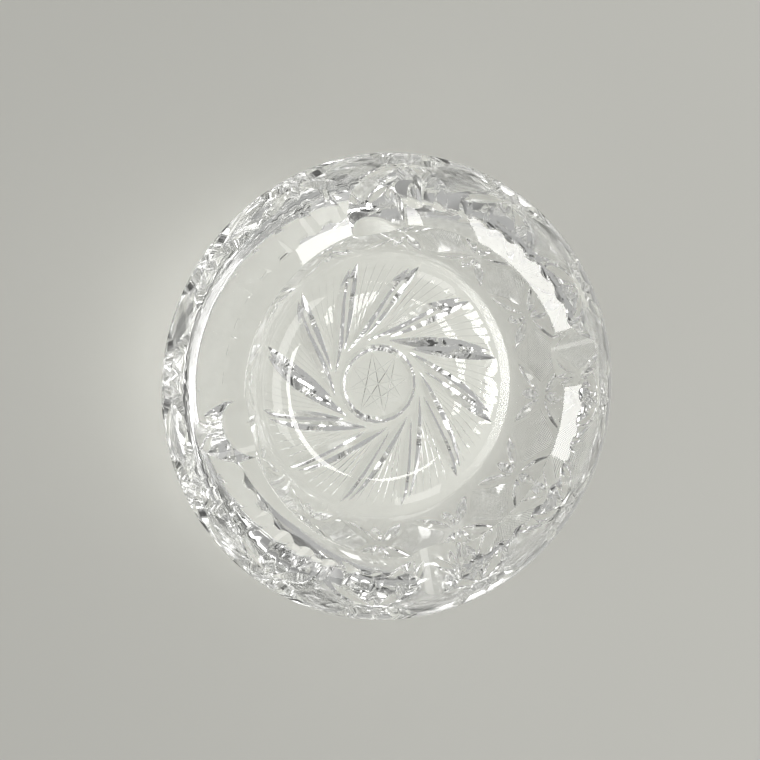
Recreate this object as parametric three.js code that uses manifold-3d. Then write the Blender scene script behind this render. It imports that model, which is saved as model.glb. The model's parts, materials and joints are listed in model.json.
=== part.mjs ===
// Round cut-crystal dish: one blank of glass, turned to shape and then cut on the wheel.
// Millimetres, +Z up, standing on z = 0, the four rests on the X and Y axes.
import * as THREE from 'three';
import { mergeVertices } from 'three/examples/jsm/utils/BufferGeometryUtils.js';
import Module from 'manifold-3d';

// ---- driving sizes of the turned blank ---------------------------------------------------
const OUTER_RADIUS = 75;            // widest circle of the wall
const HEIGHT = 41.5;                // base to rim
const WIDEST_HEIGHT = 28;           // level of the widest circle
const OPENING_RADIUS = 51.4;        // inner lip of the rim
const RIM_WIDTH = 6.6;              // flat polished rim, inner lip to outer edge
const BASE_RADIUS = 54;             // outer edge of the ground base
const BASE_RING_WIDTH = 6;          // flat ring the dish stands on
const BASE_HOLLOW = 0.25;           // the base inside that ring is ground this much hollow
const FLOOR_THICKNESS = 9;          // glass between the hollow base and the bowl
const FLOOR_RISE = 1.5;             // degrees the bowl's floor rises from its middle outward
const BOWL_LEAN = 72;               // degrees the bowl's wall stands up from level
const BEND_RADIUS = 16;             // round bend from the bowl's wall into its floor

const LOWER_WALL_BULGE = 2;         // how far each stretch stands proud of its chord
const UPPER_WALL_BULGE = 1;
const EDGE_EASE = 0.5;              // the rim's two edges are taken off this much
const TURNED_SIDES = 60;
const WALL_STEPS = 4;               // straight steps in each stretch of the outer wall
const BEND_STEPS = 7;
const HOLLOW_SIDES = 24;
const WELD_WITHIN = 1e-5;           // corners closer than this are one corner
const MERGE_WITHIN = 0.004;         // faces flatter than this to each other become one

// ---- wheel cuts --------------------------------------------------------------------------
const MITRE_DEPTH_TO_WIDTH = 0.45;
const CUTTER_PROUD = 1.5;           // a cutter stands this far out of the surface it enters
const CUT_STEP_LENGTH = 8;          // the sweep of a wheel cut is made in steps about this long
const CUT_STEPS_LEAST = 3;
const FINE_CUT_STEPS = 2;           // the same, for the engraved lines

// A star: four long petals in a cross, a short one up the wall and one down it. Turns are
// degrees from straight up the wall; a reach is from the star's centre to a petal's tip.
const FOLD = 12;                    // stars round the wall, and vane pairs under the base
const STAR_BASE_GAP = 4.2;          // uncut wall between the base and the lowest petal tips
const STAR_HUB_GAP = 1.2;           // uncut glass between a star's centre and its petals
const CROSS = { turns: [50, -50, 130, -130], reach: 17.6, width: 3.9 };
const UPRIGHT = { turns: [0, 180], reach: 9.5, width: 4.4 };

const SCALLOPS = 44;                // flutes round the outer edge of the rim
const SCALLOP_BITE = 1.1;           // how far a flute reaches into the rim
const SCALLOP_LENGTH = 8;           // how far it runs down the wall
const SCALLOP_SIDES = 20;

const REST_COUNT = 4;
const REST_WIDTH = 18;
const REST_DEPTH = 4.5;             // at the lip
const REST_FALL = 5;                // degrees a rest slopes down and outward
const REST_SIDES = 48;

// The ring of short straight mitres round the hub, and the line star inside it.
const HUB_RING = { radius: 12.3, width: 2.3, sides: 12, overlap: 1.35 };
const HUB_STAR = { points: 8, skip: 3, gap: 0.3 };
const FINE_WIDTH = 0.6;             // engraved lines of the hub star and of the fans

// Each vane is two straight cuts side by side. `swing` is how far a cut's line passes outside
// the hub ring's centre line, `lead` how far beyond that line the cut starts, and `tipGap` the
// uncut base between its tip and the ring the dish stands on.
const VANE_CUTS = [
  { swing: 2.7, lead: 2.95, tipGap: 3.9, width: 4.6 },
  { swing: 0.3, lead: 4.3, tipGap: 1.2, width: 4.2 },
];
// Fine lines fan out behind each vane from one root `lead` outside the hub ring.
const FAN = { lead: 3, rootTurn: 25, tipGap: 2.5, first: 5, step: 6, lines: 4, gap: 5 };

// ---- solids ------------------------------------------------------------------------------
const wasm = await Module();
wasm.setup();

const { degToRad } = THREE.MathUtils;
const Y_AXIS = new THREE.Vector3(0, 1, 0);
const Z_AXIS = new THREE.Vector3(0, 0, 1);

/** A closed three.js geometry as a solid. */
function toSolid(geometry) {
  const bare = new THREE.BufferGeometry();
  bare.setAttribute('position', geometry.getAttribute('position').clone());
  bare.setIndex(geometry.index.clone());
  const welded = mergeVertices(bare, WELD_WITHIN);
  const index = welded.index.array;
  const triangles = [];
  for (let i = 0; i < index.length; i += 3) {
    const corners = [index[i], index[i + 1], index[i + 2]];
    if (new Set(corners).size === corners.length) triangles.push(...corners);
  }
  return new wasm.Manifold(new wasm.Mesh({
    numProp: 3,
    vertProperties: new Float32Array(welded.getAttribute('position').array),
    triVerts: new Uint32Array(triangles),
  }));
}

/** A solid as a three.js geometry. */
function toGeometry(body) {
  const mesh = body.getMesh();
  const geometry = new THREE.BufferGeometry();
  geometry.setAttribute('position', new THREE.Float32BufferAttribute(mesh.vertProperties, 3));
  geometry.setIndex(new THREE.Uint32BufferAttribute(mesh.triVerts, 1));
  geometry.computeVertexNormals();
  return geometry;
}

// ---- half-section ------------------------------------------------------------------------
const point = (r, z) => new THREE.Vector2(r, z);
const polar = (radius, degrees) => point(
  radius * Math.cos(degToRad(degrees)), radius * Math.sin(degToRad(degrees)));

/** The circle through a and b that stands proud of their chord, on its right-hand side. */
function circleThrough(a, b, bulge) {
  const chord = b.clone().sub(a);
  const radius = (chord.lengthSq() / 4 + bulge * bulge) / (2 * bulge);
  const right = point(chord.y, -chord.x).normalize();
  const centre = a.clone().add(b).multiplyScalar(0.5).addScaledVector(right, bulge - radius);
  return { centre, radius: Math.abs(radius) };
}

/** Points from a towards b along that circle, with a in the list and b left out. */
function arcPoints(a, b, bulge, steps) {
  const { centre, radius } = circleThrough(a, b, bulge);
  const start = a.clone().sub(centre).angle();
  const turn = b.clone().sub(centre).angle() - start;
  const sweep = turn - Math.round(turn / (2 * Math.PI)) * 2 * Math.PI;
  return Array.from({ length: steps }, (_, i) => {
    const angle = start + (sweep * i) / steps;
    return centre.clone().add(point(Math.cos(angle), Math.sin(angle)).multiplyScalar(radius));
  });
}

const rimRadius = OPENING_RADIUS + RIM_WIDTH;
const hollowRadius = BASE_RADIUS - BASE_RING_WIDTH;
const floorLevel = BASE_HOLLOW + FLOOR_THICKNESS;

const fanRootRadius = HUB_RING.radius + FAN.lead;

const hubFlat = point(fanRootRadius, BASE_HOLLOW);
const baseEdge = point(BASE_RADIUS, 0);
const widest = point(OUTER_RADIUS, WIDEST_HEIGHT);
const shoulder = point(rimRadius + EDGE_EASE, HEIGHT - EDGE_EASE);
const lip = point(OPENING_RADIUS, HEIGHT - EDGE_EASE);
const floorMiddle = point(0, floorLevel);

/** The bowl's section: down its straight wall from the lip, round the bend, to the middle. */
function bowlPoints() {
  const wall = polar(1, 180 + BOWL_LEAN);
  const floor = polar(1, FLOOR_RISE);
  const reach = floorMiddle.clone().sub(lip).cross(floor) / wall.cross(floor);
  const turn = BOWL_LEAN - FLOOR_RISE;
  const tangent = BEND_RADIUS * Math.tan(degToRad(turn) / 2);
  const start = lip.clone().addScaledVector(wall, reach - tangent);
  const centre = start.clone().addScaledVector(polar(1, 90 + BOWL_LEAN), BEND_RADIUS);
  const bend = Array.from({ length: BEND_STEPS + 1 }, (_, i) => (
    start.clone().rotateAround(centre, degToRad((-turn * i) / BEND_STEPS))));
  return [lip, ...bend, floorMiddle];
}

/** The turned blank, before any cutting. */
function blank() {
  const section = [
    point(0, 0),
    ...arcPoints(baseEdge, widest, LOWER_WALL_BULGE, WALL_STEPS),
    ...arcPoints(widest, shoulder, UPPER_WALL_BULGE, WALL_STEPS),
    shoulder,
    point(rimRadius, HEIGHT),
    point(OPENING_RADIUS + EDGE_EASE, HEIGHT),
    ...bowlPoints(),
  ];
  return turn(section, TURNED_SIDES).subtract(baseHollow());
}

/** What is ground out of the base: flat round the hub, then sloping down to the ring. */
function baseHollow() {
  const fall = BASE_HOLLOW / (hollowRadius - hubFlat.x);
  const mouth = point(hollowRadius + CUTTER_PROUD, -CUTTER_PROUD * fall);
  const section = [point(0, mouth.y), mouth, hubFlat, point(0, hubFlat.y)];
  return turn(section, HOLLOW_SIDES);
}

/** A half-section turned about the Z axis. */
function turn(section, sides) {
  const turned = new THREE.LatheGeometry(section, sides);
  turned.rotateX(Math.PI / 2);
  return toSolid(turned);
}

// ---- cutters -----------------------------------------------------------------------------

/**
 * What a V-edged wheel takes out of a flat face: a keel on the X axis, its edge sweeping from
 * the surface (y = 0) at -length / 2 to full depth at the middle and back up.
 */
function keel(length, width) {
  const depth = width * MITRE_DEPTH_TO_WIDTH;
  const flank = width / 2 / depth;
  const wheelRadius = (length * length / 4 + depth * depth) / (2 * depth);
  const steps = width > FINE_WIDTH
    ? Math.max(CUT_STEPS_LEAST, Math.round(length / CUT_STEP_LENGTH))
    : FINE_CUT_STEPS;
  const halfRun = length / 2;
  const positions = [];
  for (let i = 0; i <= steps; i += 1) {
    const x = -halfRun + (2 * halfRun * i) / steps;
    const y = wheelRadius - depth - Math.sqrt(wheelRadius * wheelRadius - x * x);
    const halfTop = (CUTTER_PROUD - y) * flank;
    positions.push(x, y, 0, x, CUTTER_PROUD, halfTop, x, CUTTER_PROUD, -halfTop);
  }
  const index = [0, 1, 2];
  for (let i = 0; i < steps; i += 1) {
    const near = 3 * i;
    for (let side = 0; side < 3; side += 1) {
      const a = near + side;
      const b = near + ((side + 1) % 3);
      index.push(a, b + 3, b, a, a + 3, b + 3);
    }
  }
  const last = 3 * steps;
  index.push(last, last + 2, last + 1);
  const geometry = new THREE.BufferGeometry();
  geometry.setAttribute('position', new THREE.Float32BufferAttribute(positions, 3));
  geometry.setIndex(index);
  return geometry;
}

/** One V cut centred on a surface point, running along `run`, with `outward` off the surface. */
function mitre(centre, run, outward, length, width) {
  const along = run.clone().normalize();
  const off = outward.clone().addScaledVector(along, -outward.dot(along)).normalize();
  const pose = new THREE.Matrix4().makeBasis(along, off, along.clone().cross(off));
  pose.setPosition(centre);
  return toSolid(keel(length, width).applyMatrix4(pose));
}

/** The same cut repeated round the Z axis, one at a time out of `body`. */
function cutRound(body, cutter, count, firstDegrees = 0) {
  let result = body;
  for (let i = 0; i < count; i += 1) {
    result = result.subtract(cutter.rotate([0, 0, firstDegrees + (360 * i) / count]));
  }
  return result;
}

/** Surface point and directions of the outer wall at a height, `side` mm round from +X. */
function onWall(height, side) {
  const wall = height < WIDEST_HEIGHT
    ? circleThrough(baseEdge, widest, LOWER_WALL_BULGE)
    : circleThrough(widest, shoulder, UPPER_WALL_BULGE);
  const rise = height - wall.centre.y;
  const r = wall.centre.x + Math.sqrt(wall.radius * wall.radius - rise * rise);
  const outward = new THREE.Vector3((r - wall.centre.x) / wall.radius, 0, rise / wall.radius);
  const up = new THREE.Vector3(-outward.z, 0, outward.x);
  const round = side / r;
  return {
    spot: new THREE.Vector3(r, 0, height).applyAxisAngle(Z_AXIS, round),
    up: up.applyAxisAngle(Z_AXIS, round),
    outward: outward.applyAxisAngle(Z_AXIS, round),
    across: Y_AXIS.clone().applyAxisAngle(Z_AXIS, round),
  };
}

/** Level of the star centres: the lower cross petals end STAR_BASE_GAP above the base. */
function starHeight() {
  const lowest = Math.max(...CROSS.turns.map((turn) => -Math.cos(degToRad(turn)))) * CROSS.reach;
  const wall = widest.clone().sub(baseEdge).normalize();
  return baseEdge.y + (STAR_BASE_GAP + lowest) * wall.y;
}

/** Cutters of the star whose centre is over +X. */
function starCutters() {
  const height = starHeight();
  const rise = onWall(height, 0).up.z;
  const petal = (turn, { reach, width }) => {
    const middle = (reach + STAR_HUB_GAP) / 2;
    const [cos, sin] = [Math.cos(degToRad(turn)), Math.sin(degToRad(turn))];
    const at = onWall(height + middle * cos * rise, middle * sin);
    const run = at.up.multiplyScalar(cos).addScaledVector(at.across, sin);
    return mitre(at.spot, run, at.outward, reach - STAR_HUB_GAP, width);
  };
  return [CROSS, UPRIGHT].flatMap((kind) => kind.turns.map((turn) => petal(turn, kind)));
}

/** One flute over the rim's outer edge: a round bar laid down the wall, fading out below. */
function scallopCutter() {
  const halfPitch = (Math.PI * rimRadius) / SCALLOPS;
  const barRadius = (halfPitch * halfPitch + SCALLOP_BITE * SCALLOP_BITE) / (2 * SCALLOP_BITE);
  const down = widest.clone().sub(shoulder).normalize();
  const off = point(-down.y, down.x);
  const top = point(rimRadius - SCALLOP_BITE, HEIGHT);
  const foot = shoulder.clone().addScaledVector(down, SCALLOP_LENGTH);
  foot.addScaledVector(off, UPPER_WALL_BULGE);
  const run = foot.sub(top).normalize();
  const axisPoint = top.clone().addScaledVector(point(-run.y, run.x), barRadius);
  const length = 4 * (SCALLOP_LENGTH + barRadius);
  const bar = new THREE.CylinderGeometry(barRadius, barRadius, length, SCALLOP_SIDES);
  const pose = new THREE.Matrix4().makeBasis(
    new THREE.Vector3(-run.y, 0, run.x), new THREE.Vector3(run.x, 0, run.y), Y_AXIS);
  pose.setPosition(axisPoint.x, 0, axisPoint.y);
  return toSolid(bar.applyMatrix4(pose));
}

/** One rest: a round bar lying across the rim over +X, REST_DEPTH deep at the lip. */
function restCutter() {
  const half = REST_WIDTH / 2;
  const barRadius = (half * half + REST_DEPTH * REST_DEPTH) / (2 * REST_DEPTH);
  const length = 2 * (OUTER_RADIUS - OPENING_RADIUS + CUTTER_PROUD);
  const bar = new THREE.CylinderGeometry(barRadius, barRadius, length, REST_SIDES);
  bar.rotateZ(Math.PI / 2);
  bar.translate(0, barRadius, 0);
  bar.rotateX(Math.PI / 2);
  bar.rotateY(degToRad(REST_FALL));
  bar.translate(OPENING_RADIUS, 0, HEIGHT - REST_DEPTH);
  return toSolid(bar);
}

/** Level of the hollow base at a radius: flat round the hub, then sloping to the ring. */
function baseLevel(radius) {
  const slope = (hollowRadius - radius) / (hollowRadius - hubFlat.x);
  return BASE_HOLLOW * THREE.MathUtils.clamp(slope, 0, 1);
}

/** A straight V cut under the base between two points of the plan. */
function baseCut(from, to, width) {
  const [start, end] = [from, to].map((p) => new THREE.Vector3(p.x, p.y, baseLevel(p.length())));
  const run = end.clone().sub(start);
  const middle = start.add(end).multiplyScalar(0.5);
  return mitre(middle, run, Z_AXIS.clone().negate(), run.length(), width);
}

/** The two cuts of each vane; the outer tip of the longer one is over +X. */
function vaneCutters() {
  const cuts = VANE_CUTS.map(({ swing, lead, tipGap, width }) => {
    const offset = HUB_RING.radius + swing;
    const along = (radius) => Math.sqrt(radius * radius - offset * offset);
    const start = along(HUB_RING.radius + lead);
    return { offset, start, end: along(hollowRadius - tipGap), width };
  });
  const longest = cuts.at(-1);
  const turnBack = THREE.MathUtils.radToDeg(Math.atan2(longest.end, longest.offset));
  return cuts.map(({ offset, start, end, width }) => {
    const foot = polar(offset, turnBack);
    const run = polar(1, turnBack - 90);
    const [from, to] = [start, end].map((far) => foot.clone().addScaledVector(run, far));
    return baseCut(from, to, width);
  });
}

/** Fine lines fanned out behind each vane, from a common root beside the hub. */
function fanCutters() {
  const root = polar(fanRootRadius, FAN.rootTurn);
  return Array.from({ length: FAN.lines }, (_, i) => {
    const tip = polar(hollowRadius - FAN.tipGap, -FAN.first - i * FAN.step);
    const run = tip.clone().sub(root).normalize();
    return baseCut(root.clone().addScaledVector(run, FAN.gap), tip, FINE_WIDTH);
  });
}

/** The ring round the hub and the line star inside it. */
function hubCutters() {
  const { radius, width, sides, overlap } = HUB_RING;
  const half = radius * Math.tan(Math.PI / sides) * overlap;
  const ring = Array.from({ length: sides }, (_, i) => {
    const at = polar(radius, (360 * i) / sides);
    const along = polar(half, (360 * i) / sides + 90);
    return baseCut(at.clone().sub(along), at.clone().add(along), width);
  });
  const { points, skip, gap } = HUB_STAR;
  const reach = radius - width / 2 - gap;
  const tips = Array.from({ length: points }, (_, i) => polar(reach, (360 * i) / points));
  const chords = tips.map((tip, i) => baseCut(tip, tips[(i + skip) % points], FINE_WIDTH));
  const spokes = tips.slice(points / 2).map((tip, i) => baseCut(tips[i], tip, FINE_WIDTH));
  return [...ring, ...chords, ...spokes];
}

// ---- the dish ----------------------------------------------------------------------------
function dish() {
  let body = blank();
  for (const cutter of starCutters()) body = cutRound(body, cutter, FOLD, 180 / FOLD);
  body = cutRound(body, scallopCutter(), SCALLOPS, 180 / SCALLOPS);
  body = cutRound(body, restCutter(), REST_COUNT);
  for (const cutter of vaneCutters()) body = cutRound(body, cutter, FOLD);
  for (const cutter of fanCutters()) body = cutRound(body, cutter, FOLD);
  for (const cutter of hubCutters()) body = body.subtract(cutter);
  return body.simplify(MERGE_WITHIN);
}

const glass = new THREE.MeshStandardMaterial({
  name: 'clear_cut_crystal',
  color: 0xe6ecea,
  metalness: 0,
  roughness: 0.05,
  transparent: true,
  opacity: 0.45,
});
const glassDish = new THREE.Mesh(toGeometry(dish()), glass);
glassDish.name = 'glass_dish';

const part = new THREE.Group();
part.name = 'cut_crystal_dish';
part.add(glassDish);

export default part;
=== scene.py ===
"""Round dish of clear cut crystal, on a pale floor under soft studio light.

One lump of glass is turned to shape and then cut on the wheel: stars and hatched fields round the
lower wall, flutes and four rests over the rim, and a pinwheel with a hub star under the base.
Glass is worked in millimetres here and brought to metres at the end.
"""

import json
import logging
import math
from dataclasses import dataclass, field
from enum import IntEnum
from typing import Callable, Iterable, Sequence

import bmesh
import bpy
from mathutils import Matrix, Vector

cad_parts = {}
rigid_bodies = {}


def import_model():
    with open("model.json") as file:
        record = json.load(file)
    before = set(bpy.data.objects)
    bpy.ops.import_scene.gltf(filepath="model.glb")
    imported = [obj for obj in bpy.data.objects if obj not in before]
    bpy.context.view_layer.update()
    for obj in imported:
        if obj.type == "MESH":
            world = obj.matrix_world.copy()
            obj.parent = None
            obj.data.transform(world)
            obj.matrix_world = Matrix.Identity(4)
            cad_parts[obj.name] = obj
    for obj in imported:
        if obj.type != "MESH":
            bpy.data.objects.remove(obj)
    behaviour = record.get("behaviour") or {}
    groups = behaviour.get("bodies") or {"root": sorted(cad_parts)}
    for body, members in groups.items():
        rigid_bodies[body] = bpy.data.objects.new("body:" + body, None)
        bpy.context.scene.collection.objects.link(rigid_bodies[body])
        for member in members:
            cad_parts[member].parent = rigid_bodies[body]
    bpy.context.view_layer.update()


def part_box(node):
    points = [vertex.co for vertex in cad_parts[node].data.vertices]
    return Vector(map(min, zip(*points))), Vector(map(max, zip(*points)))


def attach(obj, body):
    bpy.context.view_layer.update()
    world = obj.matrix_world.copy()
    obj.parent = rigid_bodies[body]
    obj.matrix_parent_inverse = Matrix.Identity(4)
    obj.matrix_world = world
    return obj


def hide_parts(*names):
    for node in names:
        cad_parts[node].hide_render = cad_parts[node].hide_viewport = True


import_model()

LOG = logging.getLogger("cut_crystal_dish")

NODE = "glass_dish"
BODY = "root"
PIECE = "cut_crystal_dish"
MM = 0.001
TINY = 1e-6

CUT_DEPTH_SHARE = 0.45
FINE_DEPTH_SHARE = 0.3
ROUND_BULGE = 0.18
ROUND_STEPS = 4

Section = tuple[float, float]
Polygons = tuple[list[Vector], list[tuple[int, ...]]]


class Face(IntEnum):
    """Which surface of the glass a face belongs to, kept as its material index while cutting."""

    LOWER_WALL = 0
    UPPER_WALL = 1
    RIM = 2
    EASE = 3
    BOWL_WALL = 4
    BEND = 5
    FLOOR = 6
    FOOT_RING = 7
    HOLLOW = 8
    CUT = 9
    HATCH = 10


class Finish(IntEnum):
    """Material slots of the finished dish."""

    POLISHED = 0
    WHEEL_CUT = 1
    GROUND = 2


def polar(radius: float, degrees: float) -> Vector:
    """A point of the plan, at z = 0."""
    turn = math.radians(degrees)
    return Vector((radius * math.cos(turn), radius * math.sin(turn), 0.0))


# ---- the turned blank --------------------------------------------------------------------------


@dataclass(frozen=True)
class Arc:
    """A round stretch of the half-section, from start to end.

    Attributes:
        start: (radius, height) where the stretch begins.
        end: (radius, height) where it ends.
        bulge: how far its middle stands off the chord, on the right-hand side.
    """

    start: Section
    end: Section
    bulge: float

    @property
    def chord(self) -> float:
        """Length of the straight line from start to end."""
        return math.dist(self.start, self.end)

    @property
    def radius(self) -> float:
        """Radius of the stretch."""
        return (self.chord**2 / 4 + self.bulge**2) / (2 * self.bulge)

    @property
    def centre(self) -> Section:
        """Centre of the stretch's circle."""
        along = ((self.end[0] - self.start[0]) / self.chord, (self.end[1] - self.start[1]) / self.chord)
        back = self.bulge - self.radius
        middle = ((self.start[0] + self.end[0]) / 2, (self.start[1] + self.end[1]) / 2)
        return (middle[0] + along[1] * back, middle[1] - along[0] * back)

    def at(self, share: float) -> Section:
        """The point a share of the way along, from 0 at the start to 1 at the end.

        Args:
            share: of the angle from start to end.

        Returns:
            The point as (radius, height).
        """
        cx, cz = self.centre
        first = math.atan2(self.start[1] - cz, self.start[0] - cx)
        last = math.atan2(self.end[1] - cz, self.end[0] - cx)
        angle = first + (last - first) * share
        return (cx + self.radius * math.cos(angle), cz + self.radius * math.sin(angle))

    def normal(self, at: Section) -> Section:
        """Outward direction at a point of the stretch.

        Args:
            at: the point as (radius, height).

        Returns:
            A unit direction as (across, up).
        """
        cx, cz = self.centre
        size = math.dist(at, (cx, cz))
        return ((at[0] - cx) / size, (at[1] - cz) / size)


@dataclass
class Blank:
    """The glass as it comes off the lathe, before any cut.

    Attributes:
        outer_radius: the widest circle.
        height: base to rim.
        widest_height: level of the widest circle.
        opening_radius: inner lip of the rim.
        rim_width: of the flat rim.
        base_radius: outer edge of the foot ring.
        ring_width: of the flat ring the dish stands on.
        hollow: how much the base inside that ring is ground away.
        hollow_flat: radius to which the hollow is flat, before it slopes to the ring.
        floor_thickness: glass between the hollow and the bowl, in the middle.
        floor_rise: degrees the bowl's floor slopes where it meets the bend.
        bowl_lean: degrees the bowl's wall stands up from level.
        bend_radius: of the bend from the bowl's wall to its floor.
        lower_bulge: how far the wall below the widest circle stands off its chord.
        upper_bulge: the same, above the widest circle.
        ease: how much is taken off the rim's two edges.
        foot_ease: the same, at the foot's outer edge.
        ring_step: how far the hollow's edge stands above the foot.
        ring_ease: width of the slope from there to the foot ring's flat.
        lower_steps: straight steps in the wall below the widest circle.
        upper_steps: the same, above it.
        bend_steps: the same, in the bend.
        floor_steps: the same, in the bowl's floor.
        segments: sides of every turned circle.
    """

    outer_radius: float
    height: float
    widest_height: float = 28.0
    opening_radius: float = 51.4
    rim_width: float = 6.6
    base_radius: float = 54.0
    ring_width: float = 6.0
    hollow: float = 0.5
    hollow_flat: float = 41.0
    floor_thickness: float = 8.75
    floor_rise: float = 1.5
    bowl_lean: float = 72.0
    bend_radius: float = 16.0
    lower_bulge: float = 2.0
    upper_bulge: float = 1.0
    ease: float = 0.5
    foot_ease: float = 0.35
    ring_step: float = 0.02
    ring_ease: float = 0.3
    lower_steps: int = 22
    upper_steps: int = 18
    bend_steps: int = 24
    floor_steps: int = 8
    segments: int = 288

    @property
    def rim_radius(self) -> float:
        """Outer edge of the flat rim."""
        return self.opening_radius + self.rim_width

    @property
    def hollow_radius(self) -> float:
        """Inner edge of the ring the dish stands on."""
        return self.base_radius - self.ring_width

    @property
    def lower(self) -> Arc:
        """The wall below the widest circle."""
        return Arc((self.base_radius, 0.0), (self.outer_radius, self.widest_height), self.lower_bulge)

    @property
    def upper(self) -> Arc:
        """The wall above the widest circle."""
        shoulder = (self.rim_radius + self.ease, self.height - self.ease)
        return Arc((self.outer_radius, self.widest_height), shoulder, self.upper_bulge)

    def bend(self) -> tuple[Section, Section, Section]:
        """Where the bowl's wall ends, where its floor begins, and the centre of the bend.

        Returns:
            Three points as (radius, height).
        """
        lean, rise = math.radians(self.bowl_lean), math.radians(self.floor_rise)
        wall = (-math.cos(lean), -math.sin(lean))
        floor = (math.cos(rise), math.sin(rise))
        lip = (self.opening_radius, self.height - self.ease)
        middle = (0.0, self.hollow + self.floor_thickness)
        gap = (middle[0] - lip[0], middle[1] - lip[1])
        reach = (gap[0] * floor[1] - gap[1] * floor[0]) / (wall[0] * floor[1] - wall[1] * floor[0])
        corner = (lip[0] + wall[0] * reach, lip[1] + wall[1] * reach)
        tangent = self.bend_radius * math.tan((lean - rise) / 2)
        start = (corner[0] - wall[0] * tangent, corner[1] - wall[1] * tangent)
        end = (corner[0] - floor[0] * tangent, corner[1] - floor[1] * tangent)
        centre = (start[0] + wall[1] * self.bend_radius, start[1] - wall[0] * self.bend_radius)
        return start, end, centre

    def stretches(self) -> list[tuple[Face, list[Section]]]:
        """The half-section as named runs of points, from under the hub to the bowl's middle.

        Returns:
            Each run with the surface that it turns.
        """
        start, end, centre = self.bend()
        lean = math.radians(self.bowl_lean)
        rise = math.radians(self.floor_rise)
        lip = (self.opening_radius, self.height - self.ease)
        shoulder = self.upper.end
        middle_level = end[1] - end[0] * math.tan(rise) / 2
        turn = [lean - (lean - rise) * i / self.bend_steps for i in range(self.bend_steps + 1)]
        bend = [(centre[0] + self.bend_radius * math.sin(a), centre[1] - self.bend_radius * math.cos(a))
                for a in turn]
        left = [1 - i / self.floor_steps for i in range(self.floor_steps + 1)]
        floor = [(end[0] * share, middle_level + (end[1] - middle_level) * share**2) for share in left]
        foot_share = self.foot_ease / self.lower.chord * 2
        foot = self.lower.at(foot_share)
        wall = [self.lower.at(share) for share in self.spread(self.lower_steps, foot_share)]
        inner = self.hollow_radius
        hollow_edge = (inner, self.ring_step)
        foot_edge = (self.base_radius - self.foot_ease, 0.0)
        return [
            (Face.HOLLOW, [(0.0, self.hollow), (self.hollow_flat, self.hollow), hollow_edge]),
            (Face.FOOT_RING, [hollow_edge, (inner + self.ring_ease, 0.0), foot_edge]),
            (Face.EASE, [foot_edge, foot]),
            (Face.LOWER_WALL, wall),
            (Face.UPPER_WALL, [self.upper.at(share) for share in self.spread(self.upper_steps, 0.0)]),
            (Face.EASE, self.rounded(shoulder, (self.rim_radius, self.height))),
            (Face.RIM, [(self.rim_radius, self.height), (self.opening_radius + self.ease, self.height)]),
            (Face.EASE, self.rounded((self.opening_radius + self.ease, self.height), lip)),
            (Face.BOWL_WALL, [lip, self.between(lip, start, 1 / 3), self.between(lip, start, 2 / 3), start]),
            (Face.BEND, bend),
            (Face.FLOOR, floor),
        ]

    @staticmethod
    def spread(steps: int, first: float) -> list[float]:
        """Even shares from first to 1."""
        return [first + (1 - first) * i / steps for i in range(steps + 1)]

    @staticmethod
    def between(a: Section, b: Section, share: float) -> Section:
        """A point on the straight line from a to b."""
        return (a[0] + (b[0] - a[0]) * share, a[1] + (b[1] - a[1]) * share)

    @staticmethod
    def rounded(a: Section, b: Section) -> list[Section]:
        """A small outward round from a to b."""
        arc = Arc(a, b, math.dist(a, b) * ROUND_BULGE)
        return [arc.at(i / ROUND_STEPS) for i in range(ROUND_STEPS + 1)]

    def build(self) -> bpy.types.Mesh:
        """Turns the half-section into a closed mesh whose faces know their stretch.

        Returns:
            The mesh, with each face's stretch as its material index.
        """
        verts: list[Vector] = []
        faces: list[tuple[int, ...]] = []
        kinds: list[int] = []
        rings: dict[Section, list[int]] = {}

        def ring(at: Section) -> list[int]:
            """Indices of the circle of points at a section point, made on first use.

            Args:
                at: the section point.

            Returns:
                One index for each side, all the same on the axis.
            """
            key = (round(at[0], 5), round(at[1], 5))
            if key not in rings:
                first = len(verts)
                if at[0] < TINY:
                    verts.append(Vector((0.0, 0.0, at[1])))
                    rings[key] = [first] * self.segments
                else:
                    for i in range(self.segments):
                        spot = polar(at[0], 360 * i / self.segments)
                        verts.append(Vector((spot.x, spot.y, at[1])))
                    rings[key] = list(range(first, first + self.segments))
            return rings[key]

        for kind, run in self.stretches():
            for a, b in zip(run, run[1:]):
                low, high = ring(a), ring(b)
                for i in range(self.segments):
                    j = (i + 1) % self.segments
                    corners = list(dict.fromkeys((low[i], low[j], high[j], high[i])))
                    faces.append(tuple(corners))
                    kinds.append(int(kind))
        mesh = bpy.data.meshes.new("turned_blank")
        mesh.from_pydata(verts, [], faces)
        mesh.polygons.foreach_set("material_index", kinds)
        outward(mesh)
        return mesh

    def true_normal(self, kind: Face, at: Vector) -> Vector | None:
        """The turned surface's exact normal at a point, or None where the mesh's own will do.

        Args:
            kind: the surface the point is on.
            at: the point.

        Returns:
            The unit normal, or None.
        """
        r = math.hypot(at.x, at.y)
        here = (r, at.z)
        if kind == Face.LOWER_WALL:
            across, up = self.lower.normal(here)
        elif kind == Face.UPPER_WALL:
            across, up = self.upper.normal(here)
        elif kind == Face.RIM:
            across, up = 0.0, 1.0
        elif kind == Face.BOWL_WALL:
            lean = math.radians(self.bowl_lean)
            across, up = -math.sin(lean), math.cos(lean)
        elif kind == Face.BEND:
            _, _, centre = self.bend()
            size = max(math.dist(here, centre), TINY)
            across, up = (centre[0] - r) / size, (centre[1] - at.z) / size
        elif kind == Face.FLOOR:
            _, end, _ = self.bend()
            slope = math.tan(math.radians(self.floor_rise)) * r / end[0]
            across, up = -slope / math.hypot(1, slope), 1 / math.hypot(1, slope)
        elif kind == Face.FOOT_RING:
            across, up = 0.0, -1.0
        else:
            return None
        if r < TINY:
            return Vector((0.0, 0.0, math.copysign(1.0, up)))
        return Vector((across * at.x / r, across * at.y / r, up))


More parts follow.
